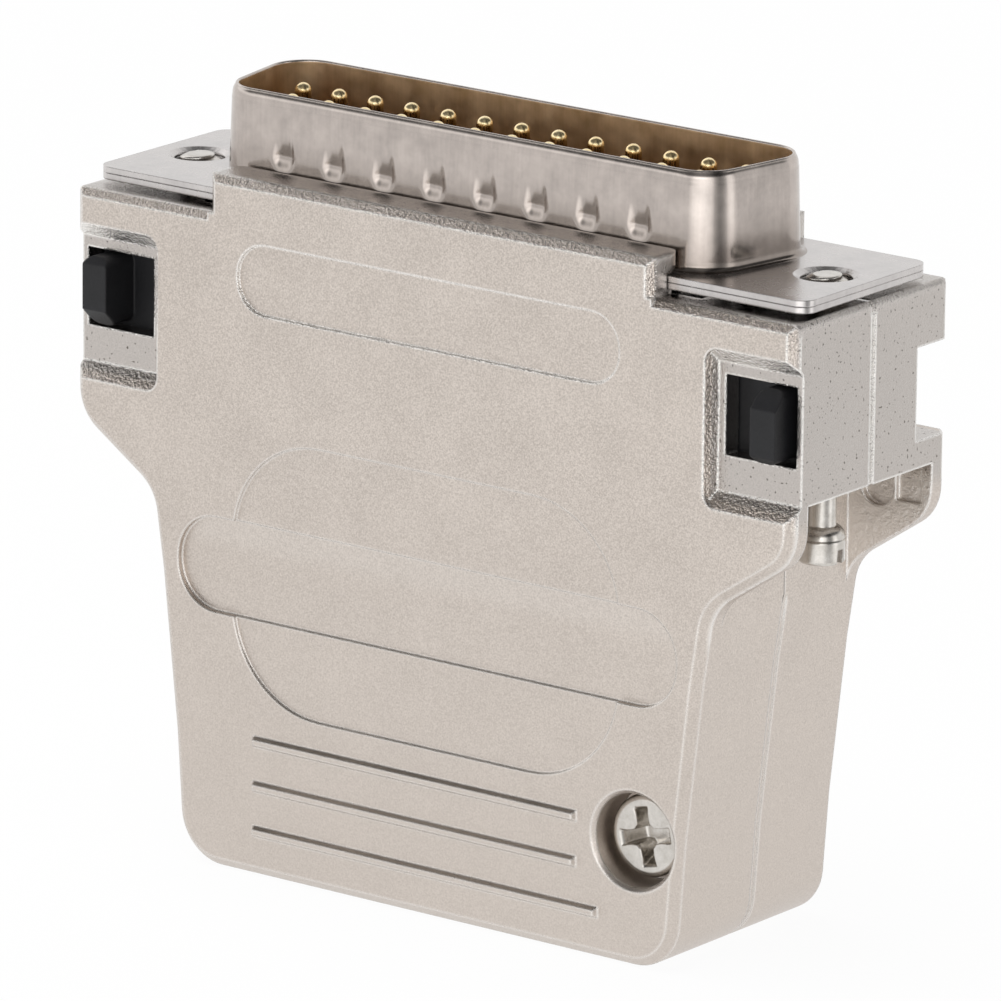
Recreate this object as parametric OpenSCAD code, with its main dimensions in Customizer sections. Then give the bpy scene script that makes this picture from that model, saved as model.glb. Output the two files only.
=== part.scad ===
// A 25-way D-shaped pin connector in a two-part die-cast metal hood.
// Millimetres, +Z up: the hood stands on its foot, the pins point up,
// X runs along the connector and the two castings meet at Y = 0.

/* [Contacts] */
// Spacing of the pins along a row
pin_pitch = 2.77; // [2.6:0.01:2.9]
// Spacing of the two rows
row_gap = 2.84; // [2.6:0.01:3]
// Diameter of a pin
pin_d = 1.02; // [0.9:0.01:1.1]
// Depth of the pin tips below the skirt's rim
pin_sink = 0.75; // [0.4:0.05:1.2]
// Diameter of the collar that holds a pin in the insulators
pin_collar_d = 1.44; // [1.3:0.02:1.6]
// Outer diameter of a solder cup
cup_d = 1.9; // [1.6:0.05:2.1]
// Length of a solder cup
cup_l = 4.8; // [3.6:0.1:5.4]
// Wall of a solder cup
cup_wall = 0.3; // [0.2:0.05:0.4]

/* [Connector] */
// Distance from the wide row's last pin to the end of the D-shaped skirt
skirt_end = 3.26; // [3:0.01:3.6]
// Distance from a pin row to the skirt's long side
skirt_side = 3.16; // [2.9:0.01:3.4]
// Height of the skirt above the flange
skirt_h = 6; // [5.2:0.1:6.6]
// Outer corner radius of the skirt
skirt_r = 2.6; // [2:0.1:3]
// Rise and reach of the bead where the skirt is drawn out of the flange
skirt_bead = 0.3; // [0.2:0.05:0.4]
// Distance from the skirt's end out to a jackscrew's axis
jack_reach = 3.64; // [3.4:0.01:4]
// Distance from a jackscrew's axis out to the flange's end
flange_reach = 3; // [2.6:0.01:3.2]
// Distance from the skirt's long side out to the flange's edge
flange_side = 1.695; // [1.5:0.005:1.9]
// Corner radius of the flange
flange_r = 1; // [0.4:0.1:2]
// Thickness of the connector's sheet metal
sheet = 0.4; // [0.3:0.05:0.5]
// How far the rear can stands out past the skirt's outline
can_outset = 0.75; // [0.6:0.05:0.9]
// Depth of the rear can below the flange
can_depth = 3.7; // [3.4:0.05:3.9]
// Depth of the grounding dents in the skirt's long sides
dent_depth = 0.45; // [0.2:0.02:0.5]
// Width of a grounding dent
dent_w = 1.7; // [1.2:0.05:2.2]
// Spacing of the grounding dents
dent_pitch = 3.8; // [3.4:0.05:4.2]
// Height of the dents' deep crease above the flange
dent_low = 2.2; // [1.8:0.05:2.6]
// Length of a dent's ramp above its crease
dent_ramp = 2.4; // [2:0.05:2.8]
// Length of a dent's steep end below its crease
dent_end = 0.7; // [0.5:0.05:1]

/* [Hood] */
// Metal between the flange's long edge and the hood's face
lip_side = 1.595; // [1.3:0.005:2]
// Distance from a jackscrew's axis out to the ear's side
ear_reach = 3.46; // [3.2:0.01:4]
// Height of the ear tops above the foot
ear_height = 41.05; // [40:0.05:50]
// How far the foot's side stands inside a jackscrew's axis
foot_inset = 4.8; // [4.2:0.05:5.4]
// Height of the knee where the trunk starts to flare
knee_height = 13; // [10:0.1:15]
// How far the knee's bend reaches above and below it
knee_run = 5; // [3:0.1:6]
// Slope of the trunk's sides below the knee, in degrees
trunk_taper = 4; // [2:0.1:5]
// Slope of the trunk's sides above the knee, in degrees
trunk_flare = 8.6; // [7:0.1:11]
// Radius of the trunk's two bottom corners
foot_r = 3.2; // [1.5:0.1:4]
// Bevel of the edge round each outer face
edge_bevel = 0.6; // [0.4:0.05:1]
// Bevel of the edges along the ear tops and the lip
top_bevel = 0.5; // [0.2:0.05:0.8]
// Thickness of the trunk's front and rear walls
face_wall = 2; // [1.6:0.1:2.4]
// Thickness of the trunk's side walls
side_wall = 2.1; // [1.6:0.1:2.6]
// Thickness of the foot's wall
foot_wall = 4; // [3:0.1:6]
// Diameter of the cable inlet in the foot
inlet_d = 10.4; // [6:0.1:11]
// Depth of the groove where the two castings meet
seam_depth = 0.15; // [0.1:0.01:0.25]
// Half the width of that groove
seam_half = 0.22; // [0.15:0.01:0.3]

/* [Ears] */
// Straight drop of each wing below its ear block
wing_drop = 1.5; // [1:0.1:3]
// Thickness of the wings that shield the screw heads
wing_wall = 1.6; // [1.2:0.1:2.2]
// Outer radius of a wing's shoulder
shoulder_r = 3; // [2:0.1:4]
// Slope of a wing's lower edge, in degrees
shoulder_slope = 34; // [28:1:40]
// Inner radius where a wing meets the trunk
throat_r = 3; // [2:0.1:4]
// Bevel along the top of an ear's outer side
ear_bevel = 0.3; // [0.1:0.05:0.5]
// Distance from a jackscrew's axis in to the round recess inside each rear wing
wing_hole_in = 0.45; // [0.2:0.05:0.8]
// Radius of the round recess inside each rear wing
wing_hole_r = 1.15; // [0.9:0.05:1.3]
// Depth of the recesses inside each rear wing
wing_recess = 0.4; // [0.2:0.05:0.6]

/* [Finger pockets] */
// Distance from an ear's top down to its window
window_drop = 3.85; // [3.7:0.05:4.2]
// Height of a window
window_height = 4.9; // [4.5:0.05:5.4]
// Distance from a jackscrew's axis in to its window's edge
window_reach = 2.08; // [1.9:0.01:2.3]
// Metal strip between a window and the ear's outer side
window_strip = 0.4; // [0.3:0.01:0.7]
// Distance from a window's top up to its pocket's top edge
pocket_over = 1.67; // [1.2:0.01:2.2]
// Distance from a window's sill down to its pocket's lower edge
pocket_under = 3.18; // [2.6:0.01:3.6]
// Distance from a window's edge in to its pocket's edge
pocket_side = 0.94; // [0.7:0.01:1.2]
// Corner radius of a pocket
pocket_r = 1; // [0.6:0.05:1.3]
// Depth of a pocket
pocket_depth = 0.9; // [0.6:0.05:1.4]
// Run of a pocket's leaning inner wall
pocket_lean = 0.45; // [0.2:0.05:0.8]
// Run of a pocket's sloped top and bottom walls
pocket_slope = 0.95; // [0.4:0.05:1.2]
// Wall between a pocket's floor and the slide behind it
pocket_floor = 1.3; // [1:0.05:1.6]
// Floor of the ear block under the slide
bay_floor = 2.05; // [1.6:0.05:2.6]
// Depth of the open notch in each rear ear
notch_depth = 3.35; // [2.4:0.05:3.8]
// How far the notch reaches above the window's top
notch_over = 0.15; // [0:0.05:0.4]
// How far the notch reaches below the window's sill
notch_under = 0.65; // [0.2:0.05:0.9]

/* [Lip] */
// How far the lip's ends stand inside the skirt's ends
lip_inset = 3.28; // [2.6:0.01:6]
// Thickness of the lip over the flange
lip_wall = 1.2; // [0.8:0.05:1.8]
// Radius of the lip's inner corners
lip_r = 0.8; // [0.4:0.05:1.2]
// Gap between the ear tops and the flange above them
flange_gap = 0.3; // [0.1:0.05:0.6]

/* [Faces] */
// Distance from the lip's end in to the upper recessed field
upper_field_inset = 2.3; // [1.6:0.05:4]
// Height of the upper recessed field
upper_field_h = 4.36; // [3:0.02:5]
// Distance from the ear tops down to the upper field
upper_field_drop = 1.42; // [1.2:0.02:2.4]
// Distance from the trunk's knee in to the large recessed field
large_field_inset = 5.08; // [4:0.02:8]
// Distance from the ear blocks' underside down to the large field
large_field_drop = 2.25; // [1.6:0.05:3]
// Height of the large field's lower edge above the foot
large_field_low = 10.6; // [10:0.1:12]
// Corner radius of the large field
large_field_r = 6.5; // [4:0.1:7]
// Depth of the upper and large fields
field_depth = 0.2; // [0.1:0.05:0.3]
// Distance from the trunk's knee in to the recessed band across the large field
band_inset = 0.83; // [0.8:0.01:3]
// Height of the recessed band
band_h = 6; // [5:0.1:7]
// Depth of the recessed band
band_depth = 0.4; // [0.2:0.05:0.5]
// Distance from the foot's side in to the ribs' left ends
rib_inset = 5.72; // [5:0.02:8]
// Distance from the counterbore to the ribs' right ends
rib_gap = 1.18; // [0.8:0.01:2]
// Extra length of the lowest grip rib
rib_extra = 1.65; // [0:0.05:2]
// Height of a rib's base
rib_h = 0.9; // [0.7:0.05:1.2]
// How far the ribs stand out of the face
rib_rise = 0.35; // [0.2:0.05:0.5]
// Spacing of the three ribs
rib_pitch = 2.845; // [2.2:0.005:3]
// Height of the lowest rib above the foot
rib_low = 2.88; // [2.2:0.02:3.2]

/* [Cover screws] */
// Distance from the foot's side in to a cover screw's axis
screw_inset = 2.89; // [2.6:0.01:3.4]
// Height of the cover screws above the foot
screw_z = 7.8; // [7.4:0.05:9]
// Diameter of a cover screw's head
screw_head_d = 5.1; // [4.6:0.1:5.6]
// Thickness of a cover screw's head
screw_head_h = 1.4; // [1:0.05:1.8]
// Diameter of a cover screw's shank
screw_d = 3; // [2.5:0.1:3.2]
// Radial room round a head in its counterbore
counterbore_room = 0.35; // [0.2:0.05:0.7]
// Bevel round the mouth of a counterbore
mouth_bevel = 0.25; // [0.1:0.05:0.4]
// Depth of a head's top below the face
screw_sink = 1.2; // [0.6:0.05:1.5]
// Wall of the screw bosses round the counterbore
boss_wall = 1.1; // [0.8:0.05:1.4]

/* [Jackscrews] */
// Outer diameter of a jackscrew's threaded end
jack_thread_d = 2.8; // [2.6:0.02:2.9]
// Diameter of a jackscrew's neck
jack_neck_d = 1.7; // [1.5:0.05:1.9]
// Diameter of a jackscrew's head
jack_head_d = 2.84; // [2.6:0.02:3.6]
// Height of a jackscrew's head with its dome
jack_head_h = 2.2; // [1.8:0.05:3]
// Height of the dome on a jackscrew's head
jack_dome = 0.75; // [0.4:0.05:0.9]
// Upward travel of a jackscrew
jack_travel = 2.9; // [2:0.05:3.2]
// Width of the driver slot in a jackscrew's head
jack_slot = 0.6; // [0.4:0.05:0.8]

/* [Retaining slides] */
// Width of a slide's plate behind the window
slide_w = 5.4; // [5.2:0.05:5.6]
// Thickness of a slide's plate and fork
slide_wall = 1; // [0.8:0.05:1.1]
// Inward travel of a slide
slide_travel = 2.4; // [1.8:0.05:2.5]
// Width of the finger fin
fin_w = 1.8; // [1.5:0.05:2]
// Clearance above and below the fin in its window
fin_room = 0.25; // [0.2:0.05:0.6]
// Corner radius of the fin, seen from the front
fin_r = 0.6; // [0.3:0.05:0.8]
// How far the fin stands out of the hood's face
fin_proud = 0.44; // [0.2:0.02:0.8]
// Distance of the fin from the plate's outer edge
fin_inset = 0.53; // [0.3:0.01:0.7]
// Size of the chamfer at one end of the fin
fin_chamfer = 1.1; // [0.6:0.05:1.4]

/* [Fits] */
// Running clearance of the slides, the lip and the can
fit = 0.1; // [0.06:0.01:0.14]
// Radial clearance round the jackscrews and in the slides' forks
jack_room = 0.15; // [0.1:0.01:0.2]
// Clearance round the pins and between the insulators and the shells
pin_fit = 0.03; // [0.02:0.01:0.05]

/* [Hidden] */
$fn = 48;
long_row = 13;
short_row = 12;
pin_count = long_row + short_row;
dent_count = 8;
rib_count = 3;
d_angle = 10;
over = 1;
edge_lap = 0.2;
steel = "#b9b6b0";
nickel = "#c9c5bd";
gold = "#c9a25a";
warm_black = "#26262a";
insulator_tan = "#6b5236";

// Connector, from its pins outwards
skirt_x = (long_row - 1) * pin_pitch / 2 + skirt_end;
skirt_d = row_gap + 2 * skirt_side;
jack_x = skirt_x + jack_reach;
flange_x = jack_x + flange_reach;
flange_d = skirt_d + 2 * flange_side;
can_x = skirt_x + can_outset * (tan(d_angle) + 1 / cos(d_angle));

// Hood
half = flange_d / 2 + lip_side;
ear_x = jack_x + ear_reach;
foot_x = jack_x - foot_inset;
flange_bottom = ear_height + flange_gap;
flange_mid = flange_bottom + sheet;
flange_top = flange_mid + sheet;
lip_top = flange_top + fit + lip_wall;
lip_x = skirt_x - lip_inset;
skirt_top = flange_top + skirt_h;
can_bottom = flange_bottom - can_depth;
trunk_z = half - face_wall;

// Finger pockets, windows and the bays behind them
window_top = ear_height - window_drop;
window_low = window_top - window_height;
window_x = jack_x - window_reach;
pocket_top = window_top + pocket_over;
pocket_low = window_low - pocket_under;
pocket_x = window_x - pocket_side;
pocket_z = half - pocket_depth;
bay_lap = 0.3;
bay_top = window_top + bay_lap;
bay_low = window_low - bay_lap;
bay_out = ear_x - window_strip;
bay_z = pocket_z - pocket_floor;
slide_out = bay_out - fit;
bay_in = slide_out - slide_w - slide_travel - 4 * fit;
fork_lap = 0.7;
fork_reach = jack_thread_d / 2 + fork_lap;
rear_bay_z = fork_reach + 4 * fit;
block_bottom = bay_low - bay_floor;
wing_z = block_bottom - wing_drop;

// Right-hand outline of the hood, as points and arc centres seen from the front
bend = (trunk_taper + trunk_flare) / 2;
knee_x = foot_x + knee_height * tan(trunk_taper);
bend_low = [knee_x - knee_run * tan(trunk_taper), knee_height - knee_run];
up_low = [sin(trunk_taper), cos(trunk_taper)];
up_bend = [sin(bend), cos(bend)];
up_side = [sin(trunk_flare), cos(trunk_flare)];
up_slope = [cos(shoulder_slope), sin(shoulder_slope)];
out_low = [up_low[1], -up_low[0]];
out_bend = [up_bend[1], -up_bend[0]];
out_side = [up_side[1], -up_side[0]];
out_slope = [up_slope[1], -up_slope[0]];
shoulder_c = [ear_x - shoulder_r, wing_z];
foot_c = [foot_x - foot_r * tan((90 - trunk_taper) / 2), foot_r];
throat_turn = 90 - trunk_flare - shoulder_slope;
throat_low = throat_corner(0) - throat_r * tan(throat_turn / 2) * up_side;
throat_c = throat_low + throat_r * out_side;

// Recessed fields
upper_field_x = lip_x - upper_field_inset;
large_field_x = knee_x - large_field_inset;
large_field_h = block_bottom - large_field_drop - large_field_low;
large_field_mid = large_field_low + large_field_h / 2;
band_x = knee_x - band_inset;

// Jackscrews
slide_top = bay_top - fit;
slide_low = bay_low + fit;
jack_shoulder = slide_top + fit / 2;
jack_tip = flange_top + fit / 2;
jack_head_top = block_bottom - jack_travel - fit;
jack_head_low = jack_head_top - jack_head_h;
thread_r = jack_thread_d / 2;
neck_r = jack_neck_d / 2;
thread_bore_r = thread_r + jack_room;
neck_bore_r = neck_r + jack_room;

// Cover screws
screw_x = foot_x - screw_inset;
counterbore_r = screw_head_d / 2 + counterbore_room;
boss_r = counterbore_r + boss_wall;
head_seat = half - screw_sink - screw_head_h;
thread_stop = 0.5;
thread_reach = trunk_z - thread_stop;

// Contacts
tip_r = pin_d / 2;
collar_r = pin_collar_d / 2;
cup_r = cup_d / 2;
pin_top = skirt_top - pin_sink;
insulator_split = can_bottom + can_depth / 2;
insulator_rise = 0.5;
insulator_front = flange_top + insulator_rise;
collar_half = 1.1;
cup_gap = 0.4;
cup_top = can_bottom - cup_gap;
can_lip = 1.2;

// Name of a contact pin, numbered along the wide row and then the narrow one
function pin_name(i) = str("pin_", i < 10 ? "0" : "", i);

// Place of a contact pin
function pin_place(i) = i <= long_row
    ? [(i - (long_row + 1) / 2) * pin_pitch, row_gap / 2]
    : [(i - long_row - (short_row + 1) / 2) * pin_pitch, -row_gap / 2];

// Crossing of two lines, each given by a point and a direction
function meet(p, u, q, v) =
    p + u * ((q[0] - p[0]) * v[1] - (q[1] - p[1]) * v[0]) / (u[0] * v[1] - u[1] * v[0]);

// Corners of the hood's outline at its knee and throat, moved inwards by d
function lower_knee(d) =
    meet([foot_x, 0] - d * out_low, up_low, bend_low - d * out_bend, up_bend);
function upper_knee(d) =
    meet(bend_low - d * out_bend, up_bend, [knee_x, knee_height] - d * out_side, up_side);
function throat_corner(d) =
    meet([knee_x, knee_height] - d * out_side, up_side, shoulder_c + (shoulder_r - d) * out_slope, up_slope);

// Unit vector from one point to another
function toward(p, q) = (q - p) / norm(q - p);

// Length from a corner to where its round of radius r begins
function round_t(p, c, q, r) =
    let (turn = acos(toward(p, c) * toward(c, q)))
    r * tan(turn / 2);

// Convex outline with every corner rounded by the same radius, its arcs a hair inside the flats
module rounded(points, r) {
    n = len(points);
    ends = [for (i = [0 : n - 1])
        let (p = points[(i + n - 1) % n], c = points[i], q = points[(i + 1) % n])
        let (t = round_t(p, c, q, r))
        [c + t * toward(c, p), c + t * toward(c, q), c, t]];
    polygon([for (e = ends) each [e[0], e[1]]]);
    for (e = ends) {
        middle = (e[0] + e[1]) / 2;
        chord = norm(e[1] - e[0]) / 2;
        translate(middle + toward(e[2], middle) * sqrt(r * r - chord * chord))
            circle(r = 0.998 * r);
    }
}

// Rounded rectangle about a centre
module field(w, h, r) {
    rounded([[-w / 2, -h / 2], [w / 2, -h / 2], [w / 2, h / 2], [-w / 2, h / 2]], r);
}

// D-shaped connector outline, moved inwards by an inset
module d_outline(inset) {
    wide = skirt_x - inset * (tan(d_angle) + 1 / cos(d_angle));
    narrow = skirt_x - skirt_d * tan(d_angle) + inset * (tan(d_angle) - 1 / cos(d_angle));
    side = skirt_d / 2 - inset;
    rounded([[-narrow, -side], [narrow, -side], [wide, side], [-wide, side]], skirt_r - inset);
}

// Flat part standing up: its X stays, its Y becomes height and its Z faces the viewer
module upright() {
    rotate([90, 0, 0])
        children();
}

// Both sides, left and right
module both_sides() {
    children();
    mirror([1, 0, 0])
        children();
}

// Waste outside a bevelled edge: X points out of the material, Y out of the face
module edge_waste(bevel) {
    polygon([[over, half - bevel - over], [over, half + over], [-bevel - over, half + over]]);
}

// Waste along a straight edge from p to q, with the material on the left and a lap at both ends
module edge_line(p, q, bevel) {
    along = q - p;
    translate(p - edge_lap * toward(p, q))
        rotate(atan2(along[1], along[0]))
            rotate([90, 0, 90])
                linear_extrude(norm(along) + 2 * edge_lap)
                    mirror([1, 0])
                        edge_waste(bevel);
}

// Waste along a round edge about a centre, bulging out of the material or into it
module edge_arc(c, path_r, from, to, bevel, hollow = false) {
    translate(c)
        rotate(from)
            rotate_extrude(angle = to - from)
                translate([path_r, 0])
                    mirror([hollow ? 1 : 0, 0])
                        edge_waste(bevel);
}

// Bar with sloped sides and ends: a base rectangle that narrows by the given runs
module sloped_bar(low, high, z0, z1, run_x, run_y) {
    intersection() {
        rotate([90, 0, 90])
            translate([0, 0, low[0] - over])
                linear_extrude(high[0] - low[0] + 2 * over)
                    polygon([[low[1], z0], [high[1], z0], [high[1] - run_y, z1], [low[1] + run_y, z1]]);
        rotate([90, 0, 0])
            translate([0, 0, -high[1] - over])
                linear_extrude(high[1] - low[1] + 2 * over)
                    polygon([[low[0], z0], [high[0], z0], [high[0] - run_x, z1], [low[0] + run_x, z1]]);
    }
}

// Outline of the hood below its lip, seen from the front and moved inwards by d
module hood_outline(d) {
    throat = throat_r + d;
    right = [[foot_c[0], d], foot_c + (foot_r - d) * out_low, lower_knee(d), upper_knee(d),
             throat_corner(d), shoulder_c + (shoulder_r - d) * out_slope,
             [ear_x - d, wing_z], [ear_x - d, ear_height]];
    polygon(concat(right, [for (i = [len(right) - 1 : -1 : 0]) [-right[i][0], right[i][1]]]));
    both_sides() {
        translate(foot_c)
            circle(r = foot_r - d);
        translate(shoulder_c)
            circle(r = shoulder_r - d);
        difference() {
            polygon([throat_c, throat_c - (throat + edge_lap) * out_side, throat_corner(d + edge_lap),
                     throat_c - (throat + edge_lap) * out_slope]);
            translate(throat_c)
                circle(r = throat);
        }
    }
}

// Waste round the hood's outer face
module face_edges() {
    foot_side = foot_c + foot_r * out_low;
    throat_high = throat_c - throat_r * out_slope;
    edge_line([-foot_c[0], 0], [foot_c[0], 0], edge_bevel);
    both_sides() {
        edge_arc(foot_c, foot_r, -90, -trunk_taper, edge_bevel);
        edge_line(foot_side, lower_knee(0), edge_bevel);
        edge_line(lower_knee(0), upper_knee(0), edge_bevel);
        edge_line(upper_knee(0), throat_low, edge_bevel);
        edge_arc(throat_c, throat_r, 90 + shoulder_slope, 180 - trunk_flare, edge_bevel, true);
        edge_line(throat_high, shoulder_c + shoulder_r * out_slope, edge_bevel);
        edge_arc(shoulder_c, shoulder_r, shoulder_slope - 90, 0, edge_bevel);
        edge_line([ear_x, wing_z], [ear_x, ear_height + 2 * over], edge_bevel);
        edge_line([ear_x + over, ear_height], [lip_x + edge_lap, ear_height], top_bevel);
        edge_line([lip_x, ear_height + edge_lap], [lip_x, lip_top + over], top_bevel);
    }
    edge_line([lip_x + over, lip_top], [-lip_x - over, lip_top], top_bevel);
}

// Bevel along the top of an ear's outer side
module ear_top_bevel() {
    translate([ear_x - ear_bevel, ear_height, -over])
        rotate(-45)
            cube([2 * over, over, half + 2 * over]);
}

// Hollow of the trunk, with the screw bosses left standing
module trunk_hollow() {
    side = side_wall / cos(trunk_flare);
    right = [[foot_x + foot_wall * tan(trunk_taper) - side, foot_wall],
             [knee_x - side, knee_height],
             [throat_low[0] - side, throat_low[1]],
             [throat_low[0] - side, flange_bottom + over]];
    translate([0, 0, -over])
        linear_extrude(trunk_z + over)
            difference() {
                polygon(concat(right, [for (i = [len(right) - 1 : -1 : 0]) [-right[i][0], right[i][1]]]));
                both_sides()
                    translate([screw_x, screw_z])
                        circle(r = boss_r);
            }
}

// Recessed fields of a face
module face_fields() {
    translate([0, ear_height - upper_field_drop - upper_field_h / 2, half - field_depth])
        linear_extrude(over)
            field(2 * upper_field_x, upper_field_h, upper_field_h * 0.48);
    translate([0, large_field_mid, half - field_depth])
        linear_extrude(over)
            field(2 * large_field_x, large_field_h, large_field_r);
    translate([0, large_field_mid, half - band_depth])
        linear_extrude(over)
            field(2 * band_x, band_h, band_h * 0.48);
}

// Raised grip ribs of a face
module face_ribs() {
    rib_left = rib_inset - foot_x;
    rib_right = screw_x - counterbore_r - rib_gap;
    for (i = [0 : rib_count - 1]) {
        right = rib_right + (i == 0 ? rib_extra : 0);
        mid = rib_low + i * rib_pitch;
        intersection() {
            sloped_bar([rib_left, mid - rib_h / 2], [right, mid + rib_h / 2],
                       half - field_depth, half + rib_rise, rib_rise * 0.8, rib_rise * 0.8);
            translate([(rib_left + right) / 2, mid, 0])
                linear_extrude(half + over)
                    field(right - rib_left, rib_h, rib_h * 0.45);
        }
    }
}

// Holes of a face: a counterbored screw hole on the right and a blind thread hole on the left
module screw_holes() {
    translate([screw_x, screw_z, -over])
        cylinder(r = screw_d / 2 + jack_room, h = half + 2 * over);
    translate([screw_x, screw_z, head_seat])
        cylinder(r = counterbore_r, h = half);
    translate([screw_x, screw_z, half - mouth_bevel])
        cylinder(r1 = counterbore_r, r2 = counterbore_r + over, h = over);
    translate([-screw_x, screw_z, -over])
        cylinder(r = screw_d / 2 + pin_fit, h = thread_reach + over);
}

// Bores of one jackscrew, split between the two castings
module jack_bores() {
    translate([jack_x, bay_top - over, 0])
        rotate([-90, 0, 0])
            cylinder(r = thread_bore_r, h = ear_height - bay_top + 2 * over);
    translate([jack_x, block_bottom - over, 0])
        rotate([-90, 0, 0])
            cylinder(r = neck_bore_r, h = bay_low - block_bottom + 2 * over);
}

// Space under an ear block, between the wings, for a jackscrew's head
module head_niche() {
    translate([throat_low[0], throat_low[1] - over, -over])
        cube([ear_x - throat_low[0] + over, block_bottom - throat_low[1] + over, half - wing_wall + over]);
}

// Bay of a slide in an ear block
module slide_bay(depth) {
    translate([bay_in, bay_low, -over])
        cube([bay_out - bay_in, bay_top - bay_low, depth + over]);
}

// Finger pocket with its window, in a front ear
module finger_pocket() {
    out = ear_x + 2 * over;
    intersection() {
        sloped_bar([pocket_x + pocket_lean, pocket_low + pocket_slope], [out, pocket_top - pocket_slope],
                   pocket_z, half, -pocket_lean, -pocket_slope);
        translate([(pocket_x + out) / 2, (pocket_low + pocket_top) / 2, pocket_z])
            linear_extrude(pocket_depth)
                field(out - pocket_x, pocket_top - pocket_low, pocket_r);
    }
    translate([window_x, window_low, bay_z - over])
        cube([bay_out - window_x, window_height, pocket_depth + pocket_floor + over]);
}

// Open notch in a rear ear
module rear_notch() {
    translate([window_x, window_low - notch_under, half - notch_depth])
        cube([ear_x - window_x + over, window_height + notch_over + notch_under, notch_depth + over]);
}

// Round recess and cast step inside a rear wing
module wing_recesses() {
    face = half - wing_wall;
    hole_x = jack_x - wing_hole_in;
    step_x = hole_x + wing_hole_r + edge_lap;
    translate([hole_x, wing_z - wing_hole_r / 2, face - over])
        cylinder(r = wing_hole_r, h = over + wing_recess);
    translate([step_x, wing_z - wing_hole_r, face - over])
        cube([ear_x - wing_wall / 2 - step_x, block_bottom - wing_z + wing_hole_r, over + wing_recess * 0.7]);
}

// Room for the flange, the skirt and the rear can
module connector_room() {
    translate([0, 0, flange_bottom])
        linear_extrude(flange_top + fit - flange_bottom)
            square([2 * lip_x + 2 * over, flange_d + 2 * fit], center = true);
    translate([0, 0, flange_bottom])
        linear_extrude(lip_top)
            square([2 * lip_x + 2 * over, skirt_d + 2 * skirt_bead + 2 * fit], center = true);
    translate([0, 0, can_bottom - 8 * fit])
        linear_extrude(can_depth + over)
            field(2 * can_x + 2 * fit, skirt_d + 2 * can_outset + 2 * fit, skirt_r);
}

// Lip over one long edge of the flange, with the wall that carries it
module flange_lip() {
    inner = half - skirt_d / 2 - skirt_bead - fit;
    translate([0, -half, ear_height - over])
        linear_extrude(lip_top - ear_height + over)
            difference() {
                translate([-lip_x, 0])
                    square([2 * lip_x, half]);
                both_sides()
                    translate([lip_x - lip_r, inner - lip_r])
                        difference() {
                            square(half);
                            circle(r = lip_r);
                            translate([-half, 0])
                                square([half, half]);
                        }
            }
}

// One casting, standing at the front; its ears are cut by the children
module hood_half() {
    difference() {
        union() {
            upright() {
                translate([0, 0, seam_half])
                    linear_extrude(half - seam_half)
                        hood_outline(0);
                linear_extrude(half / 2)
                    hood_outline(seam_depth);
            }
            flange_lip();
        }
        upright() {
            face_edges();
            trunk_hollow();
            face_fields();
            both_sides() {
                head_niche();
                jack_bores();
                ear_top_bevel();
                children();
            }
        }
        connector_room();
        cylinder(d = inlet_d, h = 2 * foot_wall + 2 * over, center = true);
        upright()
            screw_holes();
    }
    upright()
        face_ribs();
}

module front_hood_half() {
    color(nickel)
        hood_half() {
            slide_bay(bay_z);
            finger_pocket();
        }
}

module rear_hood_half() {
    color(nickel)
        rotate(180)
            hood_half() {
                slide_bay(rear_bay_z);
                rear_notch();
                wing_recesses();
            }
}

// Flange sheet with its two screw holes
module flange_sheet(z) {
    translate([0, 0, z])
        linear_extrude(sheet)
            difference() {
                field(2 * flange_x, flange_d, flange_r);
                both_sides()
                    translate([jack_x, 0])
                        circle(r = thread_bore_r);
            }
}

// Grounding dents along one long side of the skirt, each a ramp down to a crease, moved inwards by a margin
module dent_row(margin) {
    slope = dent_depth / dent_ramp;
    steep = dent_depth / dent_end;
    wall = margin - skirt_d / 2;
    crease = flange_top + dent_low;
    for (i = [0 : dent_count - 1])
        translate([(i - (dent_count - 1) / 2) * dent_pitch - dent_w / 2 - margin, 0, 0])
            rotate([90, 0, 90])
                linear_extrude(dent_w + 2 * margin)
                    polygon([[wall + dent_depth, crease],
                             [wall - over, crease + (dent_depth + over) / slope],
                             [wall - over, crease - (dent_depth + over) / steep]]);
}

// Dents on both long sides
module dents(margin) {
    dent_row(margin);
    rotate(180)
        dent_row(margin);
}

module front_shell() {
    dish = 0.4;
    color(steel)
        difference() {
            union() {
                difference() {
                    union() {
                        flange_sheet(flange_mid);
                        translate([0, 0, flange_mid])
                            linear_extrude(sheet + skirt_h)
                                d_outline(0);
                        translate([0, 0, flange_mid])
                            linear_extrude(sheet + skirt_bead)
                                d_outline(-skirt_bead);
                    }
                    translate([0, 0, flange_mid - over])
                        linear_extrude(sheet + skirt_h + 2 * over)
                            d_outline(sheet);
                }
                intersection() {
                    translate([0, 0, flange_top])
                        linear_extrude(skirt_h)
                            d_outline(sheet / 2);
                    dents(sheet);
                }
            }
            dents(0);
            both_sides()
                translate([jack_x, 0, flange_top - sheet * 0.75])
                    cylinder(r1 = thread_bore_r - 0.1, r2 = thread_bore_r + dish, h = sheet * 0.75);
        }
}

module rear_shell() {
    color(steel)
        difference() {
            union() {
                flange_sheet(flange_bottom);
                translate([0, 0, can_bottom])
                    linear_extrude(can_depth + sheet)
                        d_outline(-can_outset);
            }
            translate([0, 0, can_bottom + sheet])
                linear_extrude(can_depth + over)
                    d_outline(sheet - can_outset);
            translate([0, 0, can_bottom - over])
                linear_extrude(can_depth)
                    d_outline(can_lip - can_outset);
        }
}

// Holes for all pins, of one radius, between two heights
module pin_holes(r, from, to) {
    for (i = [1 : pin_count])
        translate(concat(pin_place(i), [from]))
            cylinder(r = r + pin_fit, h = to - from);
}

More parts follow.
